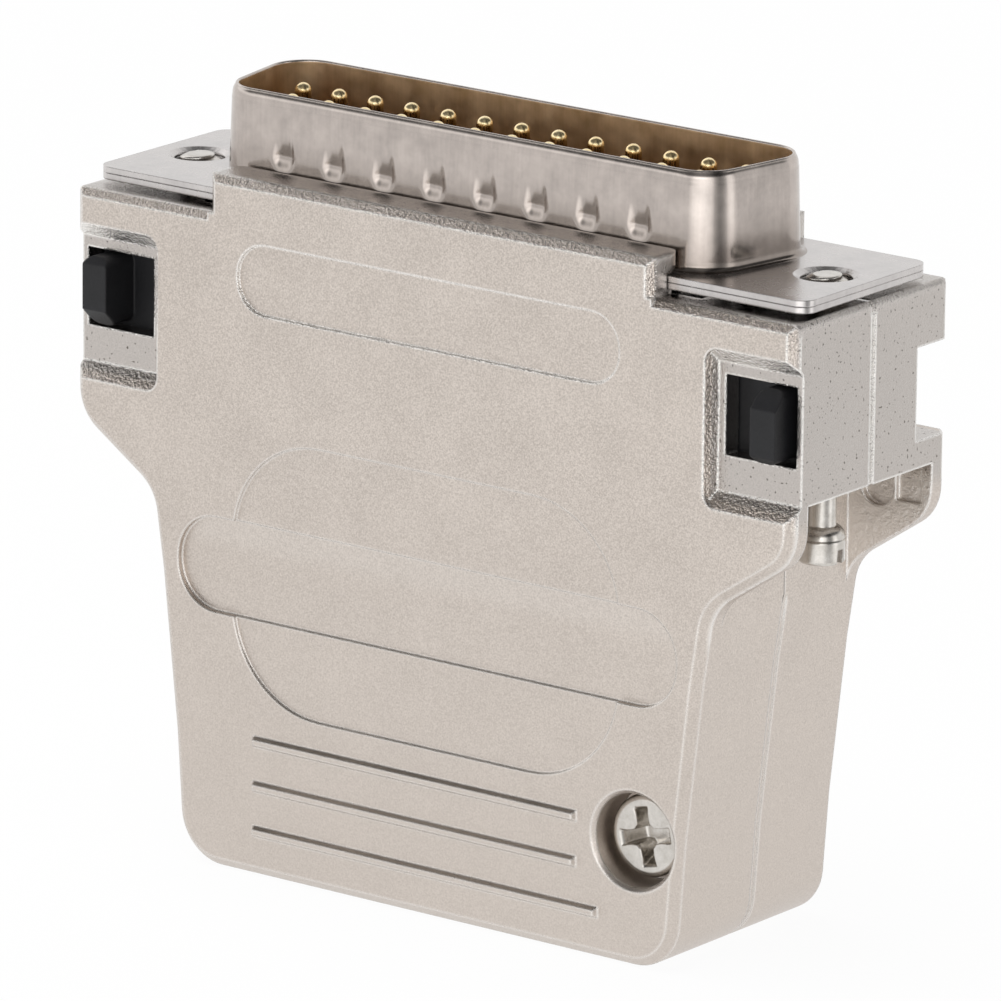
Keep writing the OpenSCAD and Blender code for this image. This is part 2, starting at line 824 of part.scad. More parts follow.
module front_insulator() {
    color(insulator_tan)
        difference() {
            union() {
                translate([0, 0, insulator_split])
                    linear_extrude(flange_mid - insulator_split)
                        d_outline(sheet - can_outset + pin_fit);
                translate([0, 0, insulator_split])
                    linear_extrude(insulator_front - insulator_split)
                        d_outline(sheet + pin_fit);
            }
            pin_holes(tip_r, insulator_split - over, insulator_front + over);
            pin_holes(collar_r, insulator_split - over, insulator_split + collar_half + pin_fit);
        }
}

module rear_insulator() {
    color(insulator_tan)
        difference() {
            union() {
                translate([0, 0, can_bottom + sheet])
                    linear_extrude(insulator_split - can_bottom - sheet)
                        d_outline(sheet - can_outset + pin_fit);
                translate([0, 0, can_bottom])
                    linear_extrude(insulator_split - can_bottom)
                        d_outline(can_lip - can_outset + pin_fit);
            }
            pin_holes(tip_r, can_bottom - over, insulator_split + over);
            pin_holes(collar_r, insulator_split - collar_half - pin_fit, insulator_split + over);
        }
}

// Contact: round-ended pin, trapped collar and scooped solder cup
module pin(i) {
    dome = [for (a = [0 : 15 : 75]) [tip_r * cos(a), pin_top - tip_r + tip_r * sin(a)]];
    cup_low = cup_top - cup_l;
    color(gold)
        translate(pin_place(i))
            difference() {
                rotate_extrude()
                    polygon(concat([[0, cup_low], [cup_r, cup_low], [cup_r, cup_top], [tip_r, cup_top],
                                    [tip_r, insulator_split - collar_half],
                                    [collar_r, insulator_split - collar_half],
                                    [collar_r, insulator_split + collar_half],
                                    [tip_r, insulator_split + collar_half]],
                                   dome, [[0, pin_top]]));
                translate([0, 0, cup_low - over])
                    cylinder(r = cup_r - cup_wall, h = cup_l * 0.8 + over);
                translate([-cup_r, i <= long_row ? cup_wall : -cup_wall - cup_r, cup_low - over])
                    cube([2 * cup_r, cup_r, cup_l * 0.55 + over]);
            }
}

// Jackscrew on the right: threaded end, thin neck and a domed, slotted head
module jackscrew() {
    chamfer = 0.35;
    head_r = jack_head_d / 2;
    dome_r = head_r - neck_r;
    dome = [for (a = [0 : 18 : 90])
        [neck_r + dome_r * cos(a), jack_head_top - jack_dome * (1 - sin(a))]];
    translate([jack_x, 0, 0])
        difference() {
            rotate_extrude()
                polygon(concat([[0, jack_head_low], [head_r - chamfer / 2, jack_head_low],
                                [head_r, jack_head_low + chamfer / 2]], dome,
                               [[neck_r, jack_shoulder], [thread_r, jack_shoulder],
                                [thread_r, jack_tip - chamfer], [thread_r - chamfer, jack_tip],
                                [0, jack_tip]]));
            translate([0, 0, jack_head_low])
                cube([jack_head_d + over, jack_slot, jack_head_h * 0.8], center = true);
        }
}

module left_jackscrew() {
    color(steel)
        mirror([1, 0, 0])
            jackscrew();
}

module right_jackscrew() {
    color(steel)
        jackscrew();
}

// Finger fin of the right slide: rounded seen from the front, with a long chamfer at its upper end
module fin(back) {
    h = window_height - 2 * fin_room;
    front = half + fin_proud;
    small = fin_chamfer * 0.4;
    translate([slide_out - fin_inset - fin_w / 2, 0, 0])
        intersection() {
            translate([-fin_w, 0, 0])
                rotate([90, 0, 90])
                    linear_extrude(2 * fin_w)
                        polygon([[-back, -h / 2], [small - front, -h / 2], [-front, small - h / 2],
                                 [-front, h / 2 - fin_chamfer], [fin_chamfer - front, h / 2],
                                 [-back, h / 2]]);
            upright()
                linear_extrude(front + over)
                    field(fin_w, h, fin_r);
        }
}

// Slide on the right: plate behind the window, finger fin and a fork round the jackscrew's neck
module slide(upside_down) {
    plate_back = bay_z - fit - slide_wall;
    slot_r = neck_r + jack_room;
    upright()
        translate([slide_out - slide_w, slide_low, plate_back])
            cube([slide_w, slide_top - slide_low, slide_wall]);
    translate([0, 0, (window_top + window_low) / 2])
        mirror([0, 0, upside_down ? 1 : 0])
            fin(plate_back + slide_wall / 2);
    translate([0, 0, slide_top - slide_wall])
        linear_extrude(slide_wall)
            difference() {
                translate([slide_out - slide_w, -plate_back - slide_wall / 2])
                    square([slide_w, plate_back + slide_wall / 2 + fork_reach]);
                translate([jack_x, 0])
                    circle(r = slot_r);
                translate([jack_x, -slot_r])
                    square([slide_w, 2 * slot_r]);
                translate([jack_x + slide_travel, 0])
                    circle(r = thread_bore_r);
            }
}

module left_slide() {
    color(warm_black)
        mirror([1, 0, 0])
            slide(true);
}

module right_slide() {
    color(warm_black)
        slide(false);
}

// Cover screw at the front: round head with a cross recess, and a plain shank
module cover_screw() {
    face = half - screw_sink;
    wing = screw_head_d * 0.32;
    slot = screw_head_d * 0.17;
    depth = screw_head_h * 0.75;
    rim = 0.35;
    head_r = screw_head_d / 2;
    tip = thread_reach - thread_stop;
    upright()
        translate([screw_x, screw_z, 0])
            difference() {
                union() {
                    rotate_extrude()
                        polygon([[0, head_seat], [head_r, head_seat], [head_r, face - rim],
                                 [head_r - rim, face], [0, face]]);
                    translate([0, 0, -tip])
                        cylinder(d = screw_d, h = tip + head_seat + screw_head_h / 4);
                }
                for (turn = [12, 102])
                    rotate([90, 0, turn])
                        translate([0, 0, -slot / 2])
                            linear_extrude(slot)
                                polygon([[-wing * 0.45, face - depth], [wing * 0.45, face - depth],
                                         [wing, face + over], [-wing, face + over]]);
            }
}

module front_cover_screw() {
    color(steel)
        cover_screw();
}

module rear_cover_screw() {
    color(steel)
        rotate(180)
            cover_screw();
}

front_hood_half();
rear_hood_half();
front_shell();
rear_shell();
front_insulator();
rear_insulator();
left_jackscrew();
right_jackscrew();
left_slide();
right_slide();
front_cover_screw();
rear_cover_screw();
for (i = [1 : pin_count])
    pin(i);
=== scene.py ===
"""Look of a D-shaped cable plug in a die-cast hood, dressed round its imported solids."""

import logging
import math
from dataclasses import dataclass, field
from enum import Enum
from typing import Any

import bpy
import numpy as np
from mathutils import Matrix, Vector


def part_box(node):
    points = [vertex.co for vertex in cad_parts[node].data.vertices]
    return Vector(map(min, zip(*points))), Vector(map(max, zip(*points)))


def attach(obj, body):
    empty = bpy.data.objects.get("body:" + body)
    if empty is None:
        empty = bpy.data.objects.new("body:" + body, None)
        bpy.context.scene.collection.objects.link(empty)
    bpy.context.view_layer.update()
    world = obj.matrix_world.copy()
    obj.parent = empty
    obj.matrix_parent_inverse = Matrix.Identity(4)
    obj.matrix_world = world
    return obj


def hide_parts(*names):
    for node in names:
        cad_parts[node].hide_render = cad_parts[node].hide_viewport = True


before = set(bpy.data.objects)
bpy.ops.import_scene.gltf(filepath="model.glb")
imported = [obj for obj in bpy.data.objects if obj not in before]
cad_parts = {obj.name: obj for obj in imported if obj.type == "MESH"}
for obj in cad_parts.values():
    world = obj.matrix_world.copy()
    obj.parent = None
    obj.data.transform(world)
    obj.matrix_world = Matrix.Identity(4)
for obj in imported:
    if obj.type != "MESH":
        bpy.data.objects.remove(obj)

LOG = logging.getLogger("plug")
MM = 0.001
WHITE = (1.0, 1.0, 1.0, 1.0)
LEVEL = (1.0, 1.0, 0.0)
BEVEL_SAMPLES = 6
PINS = [f"pin_{number:02d}" for number in range(1, 26)]

# Places of the colours among the Mix node's inputs and outputs.
MIX_FIRST, MIX_SECOND, MIX_RESULT = 6, 7, 2

Span = tuple[float, float]
Colour = tuple[float, float, float]
Place = tuple[float, float, float]
Socket = bpy.types.NodeSocket
Value = Socket | float | tuple[float, ...]


class Axis(Enum):
    """Direction that a pattern is drawn out along, as the scale of its coordinates."""

    NONE = (1.0, 1.0, 1.0)
    UP = (1.0, 1.0, 0.04)


class Facing(Enum):
    """Side of the hood that a cover screw's head is on, as the way it points along y."""

    FRONT = -1
    REAR = 1


class Zone(Enum):
    """Kind of a stretch of a jackscrew's section."""

    FOOT = 0
    PLAIN = 1
    THREAD = 2


@dataclass(frozen=True)
class Pattern:
    """Noise pattern: size of its blobs in metres, number and strength of finer layers, and stretch."""

    size: float
    detail: float = 2.0
    rough: float = 0.6
    axis: Axis = Axis.NONE


class Draft:
    """A shader's node tree while it is being drawn."""

    def __init__(self, owner: bpy.types.Material | bpy.types.World, output: str) -> None:
        """Starts an empty tree with an output node.

        Args:
            owner: the material or world that the tree belongs to.
            output: Blender's name of the output node's type.
        """
        owner.use_nodes = True
        self.owner = owner
        self.tree = owner.node_tree
        self.tree.nodes.clear()
        self.out = self.add(output)

    @classmethod
    def of_material(cls, name: str) -> "Draft":
        """Starts a new material's tree."""
        return cls(bpy.data.materials.new(name), "ShaderNodeOutputMaterial")

    @classmethod
    def of_world(cls, name: str) -> "Draft":
        """Starts a new world's tree."""
        return cls(bpy.data.worlds.new(name), "ShaderNodeOutputWorld")

    def add(self, kind: str, **settings: Any) -> bpy.types.Node:
        """Adds a node and sets its plain properties.

        Args:
            kind: Blender's name of the node type.
            settings: property names and values.

        Returns:
            The new node.
        """
        node = self.tree.nodes.new(kind)
        for key, value in settings.items():
            setattr(node, key, value)
        return node

    def join(self, source: Value, target: Socket) -> None:
        """Links a socket to an input, or sets the input to a plain value.

        Args:
            source: a socket, or a value of the input's kind.
            target: the input.
        """
        if isinstance(source, Socket):
            self.tree.links.new(source, target)
        else:
            target.default_value = source

    def place(self, stretch: Axis = Axis.NONE) -> Socket:
        """Gives the piece's own coordinates, stretched along an axis.

        Args:
            stretch: how the pattern is drawn out.

        Returns:
            A vector socket.
        """
        node = self.add("ShaderNodeMapping")
        self.join(self.add("ShaderNodeTexCoord").outputs["Object"], node.inputs["Vector"])
        self.join(stretch.value, node.inputs["Scale"])
        return node.outputs["Vector"]

    def true_normal(self) -> Socket:
        """Gives the surface's own normal, before soft edges and bumps."""
        return self.add("ShaderNodeNewGeometry").outputs["Normal"]

    def split(self, vector: Socket) -> bpy.types.Node:
        """Adds a node that splits a vector.

        Args:
            vector: the vector socket.

        Returns:
            The node, with the outputs X, Y and Z.
        """
        node = self.add("ShaderNodeSeparateXYZ")
        self.join(vector, node.inputs["Vector"])
        return node

    def noise(self, pattern: Pattern) -> Socket:
        """Adds a noise pattern on the piece's own coordinates.

        Args:
            pattern: the noise pattern.

        Returns:
            A value socket from 0 to 1.
        """
        node = self.add("ShaderNodeTexNoise")
        self.join(1.0 / pattern.size, node.inputs["Scale"])
        self.join(pattern.detail, node.inputs["Detail"])
        self.join(pattern.rough, node.inputs["Roughness"])
        self.join(self.place(pattern.axis), node.inputs["Vector"])
        return node.outputs["Fac"]

    def ramp(self, value: Socket, low: float, high: float,
             to_low: float = 0.0, to_high: float = 1.0) -> Socket:
        """Maps a value from one range to another, clamped.

        Args:
            value: the value socket.
            low: start of the range read.
            high: end of the range read.
            to_low: result at the start.
            to_high: result at the end.

        Returns:
            A value socket.
        """
        node = self.add("ShaderNodeMapRange")
        self.join(value, node.inputs["Value"])
        self.join(low, node.inputs["From Min"])
        self.join(high, node.inputs["From Max"])
        self.join(to_low, node.inputs["To Min"])
        self.join(to_high, node.inputs["To Max"])
        return node.outputs["Result"]

    def fade(self, value: Socket, at_zero: float, at_one: float) -> Socket:
        """Maps a value from 0 to 1 onto the range between two results."""
        return self.ramp(value, 0.0, 1.0, at_zero, at_one)

    def math(self, operation: str, first: Value, second: Value = 0.0) -> Socket:
        """Works out a value from one or two.

        Args:
            operation: Blender's name of the operation.
            first: value socket or number.
            second: the same, where the operation takes two.

        Returns:
            A value socket.
        """
        node = self.add("ShaderNodeMath", operation=operation)
        self.join(first, node.inputs[0])
        self.join(second, node.inputs[1])
        return node.outputs["Value"]

    def product(self, first: Value, second: Value) -> Socket:
        """Multiplies two values."""
        return self.math("MULTIPLY", first, second)

    def sum(self, first: Socket, second: Socket, weight: float) -> Socket:
        """Adds a weighted second value to a first one.

        Args:
            first: value socket.
            second: value socket.
            weight: factor of the second value.

        Returns:
            A value socket.
        """
        node = self.add("ShaderNodeMath", operation="MULTIPLY_ADD")
        self.join(second, node.inputs[0])
        self.join(weight, node.inputs[1])
        self.join(first, node.inputs[2])
        return node.outputs["Value"]

    def vector(self, operation: str, first: Socket, second: Value = (0.0, 0.0, 0.0)) -> bpy.types.Node:
        """Adds a node that works on one vector or two.

        Args:
            operation: Blender's name of the operation.
            first: vector socket.
            second: the same or a plain vector, where the operation takes two.

        Returns:
            The node, with the outputs Vector and Value.
        """
        node = self.add("ShaderNodeVectorMath", operation=operation)
        self.join(first, node.inputs[0])
        self.join(second, node.inputs[1])
        return node

    def tint(self, first: Socket | Colour, value: Socket, second: Colour) -> Socket:
        """Blends a first colour towards a second one.

        Args:
            first: colour socket or linear colour.
            value: 0 keeps the first colour and 1 gives the second.
            second: linear colour.

        Returns:
            A colour socket.
        """
        node = self.add("ShaderNodeMix", data_type="RGBA")
        self.join(value, node.inputs["Factor"])
        self.join((*first, 1.0) if isinstance(first, tuple) else first, node.inputs[MIX_FIRST])
        self.join((*second, 1.0), node.inputs[MIX_SECOND])
        return node.outputs[MIX_RESULT]

    def soft_edges(self, radius: Value) -> Socket:
        """Rounds sharp edges in the shading.

        Args:
            radius: radius of the round in metres, a number or a value socket.

        Returns:
            A normal socket.
        """
        node = self.add("ShaderNodeBevel", samples=BEVEL_SAMPLES)
        self.join(radius, node.inputs["Radius"])
        return node.outputs["Normal"]

    def edges(self, soft: Socket, lean: Span) -> Socket:
        """Marks edges, by how far the softened normal leans from the true one.

        Args:
            soft: the softened normal.
            lean: cosines of the lean where the mark starts and where it is full.

        Returns:
            A value socket, 0 on flats and 1 on edges.
        """
        cosine = self.vector("DOT_PRODUCT", soft, self.true_normal())
        return self.ramp(cosine.outputs["Value"], *lean)

    def bump(self, height: Socket, depth: float, normal: Socket) -> Socket:
        """Turns a height pattern into a bumpy normal.

        Args:
            height: value socket from 0 to 1.
            depth: height of the bumps, in metres.
            normal: the normal to start from.

        Returns:
            A normal socket.
        """
        node = self.add("ShaderNodeBump")
        self.join(1.0, node.inputs["Strength"])
        self.join(depth, node.inputs["Distance"])
        self.join(height, node.inputs["Height"])
        self.join(normal, node.inputs["Normal"])
        return node.outputs["Normal"]

    def surface(self, metallic: float, colour: Socket, rough: Socket, normal: Socket) -> bpy.types.Node:
        """Adds the surface shader and links it to the output.

        Args:
            metallic: 1 for bare metal and 0 for plastic.
            colour: colour socket.
            rough: roughness, a value socket.
            normal: normal socket.

        Returns:
            The shader node.
        """
        node = self.add("ShaderNodeBsdfPrincipled")
        self.join(metallic, node.inputs["Metallic"])
        self.join(colour, node.inputs["Base Color"])
        self.join(rough, node.inputs["Roughness"])
        self.join(normal, node.inputs["Normal"])
        self.join(node.outputs["BSDF"], self.out.inputs["Surface"])
        return node

    def mix(self, share: Socket, first: bpy.types.Node, second: bpy.types.Node) -> None:
        """Mixes two shaders and links the mix to the output.

        Args:
            share: 0 gives the first shader and 1 the second.
            first: shader node.
            second: shader node.
        """
        node = self.add("ShaderNodeMixShader")
        self.join(share, node.inputs[0])
        self.join(first.outputs[0], node.inputs[1])
        self.join(second.outputs[0], node.inputs[2])
        self.join(node.outputs[0], self.out.inputs["Surface"])


@dataclass(frozen=True)
class CastMarks:
    """A casting's softened normal and the marks on it, which are value sockets from 0 to 1."""

    soft: Socket
    height: Socket
    high: Socket
    top: Socket
    edges: Socket
    polished: Socket
    pitted: Socket
    niche: Socket
    roof: Socket
    seam: Socket


@dataclass(frozen=True)
class CastNickel:
    """Satin nickel on a die casting: blasted faces, polished ears and pockets, rubbed and pitted edges with
    painted highlights.
    """

    name: str = "cast_nickel"
    light: Colour = (0.755, 0.685, 0.625)
    dark: Colour = (0.500, 0.445, 0.400)
    # Near-white tint: on edges it is rubbed wear plus a painted highlight; in niches and on downward faces it
    # is painted light.
    wear_and_highlight_tint: Colour = (0.93, 0.91, 0.88)
    smooth: Colour = (0.490, 0.463, 0.440)
    speck: Colour = (0.16, 0.14, 0.12)
    cloud: Pattern = Pattern(4.0 * MM, rough=0.5)
    cloud_share: float = 0.25
    cloud_span: Span = (0.3, 0.7)
    grain: Pattern = Pattern(0.10 * MM)
    grain_depth: float = 0.020 * MM
    tone_span: Span = (0.42, 0.83)
    calm: Span = (6.0 * MM, 30.0 * MM)
    calm_share: float = 0.5
    pit: Pattern = Pattern(0.19 * MM)
    pit_depth: float = 0.15 * MM
    pit_gloss: float = -0.17
    low_pits: float = 0.06
    top_pits: float = 0.25
    fleck: Pattern = Pattern(0.20 * MM, 0.0, 0.5)
    fleck_span: Span = (0.74, 0.78)
    ripple: Pattern = Pattern(0.20 * MM, rough=0.5)
    ripple_depth: float = 0.012 * MM
    cast: Pattern = Pattern(0.36 * MM)
    cast_depth: float = 0.06 * MM
    rough: Span = (0.33, 0.42)
    edge: float = 0.24 * MM
    edge_lean: Span = (0.995, 0.965)
    edge_gloss: float = -0.12
    top_edge: float = 0.60 * MM
    top_from: Span = (40.1 * MM, 40.5 * MM)
    sunk_from: Span = (7.49 * MM, 7.32 * MM)
    slope_from: Span = (0.10, 0.25)
    slope_to: Span = (0.97, 0.92)
    polish_from: Span = (28.2 * MM, 29.4 * MM)
    polish_share: float = 0.75
    polish_gloss: float = -0.19
    niche_from: Span = (20.0 * MM, 21.0 * MM)
    niche_to: Span = (29.6 * MM, 29.0 * MM)
    niche_lean: Span = (0.5, 0.8)
    # Painted light: niches are tinted lighter to stand in for light reaching into them.
    niche_painted_light: float = 0.7
    # Painted light: faces looking down are tinted lighter on pitted slopes and edges.
    roof_lean: Span = (-0.30, -0.60)
    roof_painted_light: float = 0.8
    # Share of the edge tint, part rubbed wear and part painted highlight: low down, high up and on the ear
    # tops.
    low_wear_and_highlight: float = 0.5
    high_wear_and_highlight: float = 0.85
    top_wear_and_highlight: float = 0.2
    seam_from: Span = (-0.15 * MM, -0.11 * MM)
    seam_to: Span = (-0.02 * MM, -0.06 * MM)
    seam_share: float = 0.55

    def material(self) -> bpy.types.Material:
        """Draws the finish.

        Returns:
            The material.
        """
        d = Draft.of_material(self.name)
        marks = self.marks(d)
        clouds = d.noise(self.cloud)
        grain = d.noise(self.grain)
        colour = self.colour(d, marks, clouds, grain)
        d.surface(1.0, colour, self.gloss(d, marks, clouds), self.relief(d, marks, grain))
        return d.owner

    def marks(self, d: Draft) -> CastMarks:
        """Marks the edges, slopes, ears, niches and seam of the casting.

        Args:
            d: the node tree.

        Returns:
            The marks.
        """
        spot = d.split(d.place()).outputs
        normal = d.split(d.true_normal()).outputs
        high = d.ramp(spot["Z"], *self.polish_from)
        sunk = d.ramp(d.math("ABSOLUTE", spot["Y"]), *self.sunk_from)
        top = d.product(sunk, d.ramp(spot["Z"], *self.top_from))
        soft = d.soft_edges(d.fade(top, self.edge, self.top_edge))
        edges = d.edges(soft, self.edge_lean)
        turned = d.math("ABSOLUTE", normal["Y"])
        slope = d.product(d.ramp(turned, *self.slope_from), d.ramp(turned, *self.slope_to))
        pitted = d.product(d.math("MAXIMUM", slope, edges), d.fade(high, self.low_pits, 1.0))
        band = d.product(d.ramp(spot["Z"], *self.niche_from), d.ramp(spot["Z"], *self.niche_to))
        seam = d.product(d.ramp(spot["Y"], *self.seam_from), d.ramp(spot["Y"], *self.seam_to))
        return CastMarks(
            soft=soft,
            height=spot["Z"],
            high=high,
            top=top,
            edges=edges,
            polished=d.product(high, sunk),
            pitted=d.product(pitted, d.fade(top, 1.0, self.top_pits)),
            niche=d.product(band, d.product(sunk, d.ramp(turned, *self.niche_lean))),
            roof=d.ramp(normal["Z"], *self.roof_lean),
            seam=d.product(seam, d.fade(high, self.seam_share, 0.0)))

    def colour(self, d: Draft, marks: CastMarks, clouds: Socket, grain: Socket) -> Socket:
        """Colours the casting: specks on polished parts, edges rubbed and painted lighter, painted light in
        niches and undersides.

        Args:
            d: the node tree.
            marks: the marks on the casting.
            clouds: broad pattern.
            grain: fine pattern, which is calmer near the foot.

        Returns:
            A colour socket.
        """
        tone = d.ramp(d.sum(grain, clouds, self.cloud_share), *self.tone_span)
        share = d.ramp(marks.height, *self.calm, self.calm_share, 1.0)
        even = d.ramp(marks.height, *self.calm, (1.0 - self.calm_share) / 2, 0.0)
        tone = d.sum(d.product(tone, share), even, 1.0)
        colour = d.tint(self.dark, tone, self.light)
        colour = d.tint(colour, d.product(marks.polished, self.polish_share), self.smooth)
        # Painted light in the niches.
        colour = d.tint(colour, d.product(marks.niche, self.niche_painted_light), self.wear_and_highlight_tint)
        # Painted light on downward faces.
        colour = d.tint(colour, d.product(marks.roof, d.product(marks.pitted, self.roof_painted_light)), self.wear_and_highlight_tint)
        flecks = d.ramp(d.noise(self.fleck), *self.fleck_span)
        colour = d.tint(colour, d.product(flecks, marks.polished), self.speck)
        # Edges lightened: part rubbed wear, part painted highlight.
        wear_and_highlight = d.product(marks.edges, d.fade(marks.high, self.low_wear_and_highlight, self.high_wear_and_highlight))
        wear_and_highlight = d.product(wear_and_highlight, d.fade(marks.top, 1.0, self.top_wear_and_highlight))
        return d.tint(d.tint(colour, wear_and_highlight, self.wear_and_highlight_tint), marks.seam, self.speck)

    def gloss(self, d: Draft, marks: CastMarks, clouds: Socket) -> Socket:
        """Gives the roughness, less on edges, polished parts and pitted slopes.

        Args:
            d: the node tree.
            marks: the marks on the casting.
            clouds: broad pattern.

        Returns:
            A value socket.
        """
        rough = d.ramp(clouds, *self.cloud_span, *self.rough)
        rough = d.sum(d.sum(rough, marks.edges, self.edge_gloss), marks.polished, self.polish_gloss)
        return d.sum(rough, d.product(marks.pitted, d.fade(marks.polished, 1.0, 0.0)), self.pit_gloss)

    def relief(self, d: Draft, marks: CastMarks, grain: Socket) -> Socket:
        """Gives the bumps: ripples, the niches' rough skin, pits and grain.

        Args:
            d: the node tree.
            marks: the marks on the casting.
            grain: fine pattern.

        Returns:
            A normal socket.
        """
        normal = d.bump(d.product(d.noise(self.ripple), marks.polished), self.ripple_depth, marks.soft)
        normal = d.bump(d.product(d.noise(self.cast), marks.niche), self.cast_depth, normal)
        normal = d.bump(d.product(d.noise(self.pit), marks.pitted), self.pit_depth, normal)
        return d.bump(grain, self.grain_depth, normal)


@dataclass(frozen=True)
class DrawnSheet:
    """Nickel on drawn steel sheet: smooth, with faint upright drawing lines and, if asked, painted shade at
    the foot.
    """

    name: str = "drawn_sheet"
    light: Colour = (0.66, 0.63, 0.615)
    dark: Colour = (0.54, 0.515, 0.505)
    streak: Pattern = Pattern(0.22 * MM, 3.0, axis=Axis.UP)
    streak_depth: float = 0.0012 * MM
    streak_share: float = 0.3
    cloud: Pattern = Pattern(1.6 * MM, 3.0)
    cloud_span: Span = (0.3, 0.7)
    tone_span: Span = (0.45, 0.85)
    rough: Span = (0.20, 0.30)
    edge: float = 0.12 * MM
    # Painted shade: the colour is blended towards this one near the foot, over the heights listed below.
    foot: Colour = (0.0, 0.0, 0.0)
    foot_shade_share: float = 0.0
    foot_shade_to: Span = (42.2 * MM, 45.6 * MM)

    def material(self) -> bpy.types.Material:
        """Draws the finish.

        Returns:
            The material.
        """
        d = Draft.of_material(self.name)
        streaks = d.noise(self.streak)
        clouds = d.noise(self.cloud)
        tone = d.ramp(d.sum(clouds, streaks, self.streak_share), *self.tone_span)
        # Painted shade, darkest at the foot.
        low = d.ramp(d.split(d.place()).outputs["Z"], *self.foot_shade_to, self.foot_shade_share, 0.0)
        colour = d.tint(d.tint(self.dark, tone, self.light), low, self.foot)
        rough = d.ramp(clouds, *self.cloud_span, *self.rough)
        d.surface(1.0, colour, rough, d.bump(streaks, self.streak_depth, d.soft_edges(self.edge)))
        return d.owner


@dataclass(frozen=True)
class PlatedMetal:
    """Turned metal with a thin plate, used for the screws and the gold contacts, which have painted shade low
    down.
    """

    name: str
    light: Colour
    dark: Colour
    rough: Span
    cloud: Pattern = Pattern(0.7 * MM, 3.0)
    cloud_span: Span = (0.35, 0.7)
    scratch: Pattern = Pattern(0.08 * MM)
    scratch_depth: float = 0.001 * MM
    scratch_share: float = 0.5
    scratch_span: Span = (0.5, 1.0)
    edge: float = 0.12 * MM
    # Painted shade: the colour is blended towards this one low down, between the two heights below.
    low_shade: Colour = (1.0, 1.0, 1.0)
    low_shade_from: Span = (-1.0, -2.0)

    def material(self) -> bpy.types.Material:
        """Draws the finish.

        Returns:
            The material.
        """
        d = Draft.of_material(self.name)
        clouds = d.noise(self.cloud)
        scratches = d.noise(self.scratch)
        colour = d.tint(self.dark, d.ramp(clouds, *self.cloud_span), self.light)
        # Painted shade low down.
        colour = d.tint(colour, d.ramp(d.split(d.place()).outputs["Z"], *self.low_shade_from), self.low_shade)
        rough = d.ramp(d.sum(clouds, scratches, self.scratch_share), *self.scratch_span, *self.rough)
        d.surface(1.0, colour, rough, d.bump(scratches, self.scratch_depth, d.soft_edges(self.edge)))
        return d.owner


@dataclass(frozen=True)
class MouldedPlastic:
    """Moulded plastic with a fine spark-eroded grain."""

    name: str
    light: Colour
    dark: Colour
    rough: Span
    grain: Pattern = Pattern(0.12 * MM, 3.0)
    grain_depth: float = 0.006 * MM
    grain_share: float = 0.3
    grain_span: Span = (0.3, 0.7)
    cloud: Pattern = Pattern(1.44 * MM, rough=0.5)
    edge: float = 0.22 * MM
    shine: float = 0.36

    def material(self) -> bpy.types.Material:
        """Draws the finish.

        Returns:
            The material.
        """
        d = Draft.of_material(self.name)
        grain = d.noise(self.grain)
        colour = d.tint(self.dark, d.sum(d.noise(self.cloud), grain, self.grain_share), self.light)
        rough = d.ramp(grain, *self.grain_span, *self.rough)
        shader = d.surface(0.0, colour, rough, d.bump(grain, self.grain_depth, d.soft_edges(self.edge)))
        d.join(self.shine, shader.inputs["Specular IOR Level"])
        return d.owner


def smooth_step(value: np.ndarray, low: float, high: float) -> np.ndarray:
    """Rises softly from 0 at the low value to 1 at the high one.

    Args:
        value: any array.
        low: where the rise starts.
        high: where it ends.

    Returns:
        An array of the same shape, three times the square of the share less twice its cube.
    """
    share = np.clip((value - low) / (high - low), 0.0, 1.0)
    return share * share * (3.0 - 2.0 * share)


def line(start: Span, end: Span, rows: int) -> np.ndarray:
    """Gives the points of a straight stretch of a section, as radius and height."""
    return np.linspace(start, end, rows)


def quarter(start: Span, end: Span, rows: int) -> np.ndarray:
    """Gives the points of a quarter of an ellipse, which leaves its start along the screw's axis.

    The radius goes from start to end by one less the cosine of a quarter turn, and the height by its sine.

    Args:
        start: radius and height of the first point.
        end: radius and height of the last point.
        rows: number of points.

    Returns:
        The points, rows by 2.
    """
    turn = np.linspace(0.0, math.pi / 2, rows)
    share = np.stack([1.0 - np.cos(turn), np.sin(turn)], axis=1)
    return np.array(start) + share * (np.array(end) - np.array(start))


def put(name: str, data: bpy.types.ID) -> bpy.types.Object:
    """Makes an object and links it to the scene.

    Args:
        name: the object's name.
        data: its mesh, camera or lamp.

    Returns:
        The new object.
    """
    made = bpy.data.objects.new(name, data)
    bpy.context.scene.collection.objects.link(made)
    return made


def grid_piece(name: str, grid: np.ndarray) -> bpy.types.Object:
    """Makes a smooth mesh piece from a grid of points whose columns run round a closed loop.

    Args:
        name: the piece's name.
        grid: points in metres, rows by columns by 3.

    Returns:
        The new object.
    """
    rows, columns = grid.shape[:2]
    row, column = np.meshgrid(np.arange(rows - 1), np.arange(columns), indexing="ij")
    after = (column + 1) % columns
    near, far = row * columns, (row + 1) * columns
    faces = np.stack([near + column, near + after, far + after, far + column], axis=-1).reshape(-1, 4)
    mesh = bpy.data.meshes.new(name)
    mesh.from_pydata(grid.reshape(-1, 3).tolist(), [], faces.tolist())
    mesh.polygons.foreach_set("use_smooth", np.ones(len(mesh.polygons), dtype=bool))
    return put(name, mesh)


def dress(names: list[str], material: bpy.types.Material) -> None:
    """Puts one finish on several solids.

    Args:
        names: the solids' names.
        material: the finish.
    """
    for name in names:
        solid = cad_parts[name]
        solid.data.materials.clear()
        solid.data.materials.append(material)
        LOG.info("dressed %s in %s", name, material.name)


@dataclass
class Hood:
    """The two castings."""

    finish: CastNickel = CastNickel()

    def build(self) -> None:
        """Dresses both castings."""
        dress(["front_hood_half", "rear_hood_half"], self.finish.material())


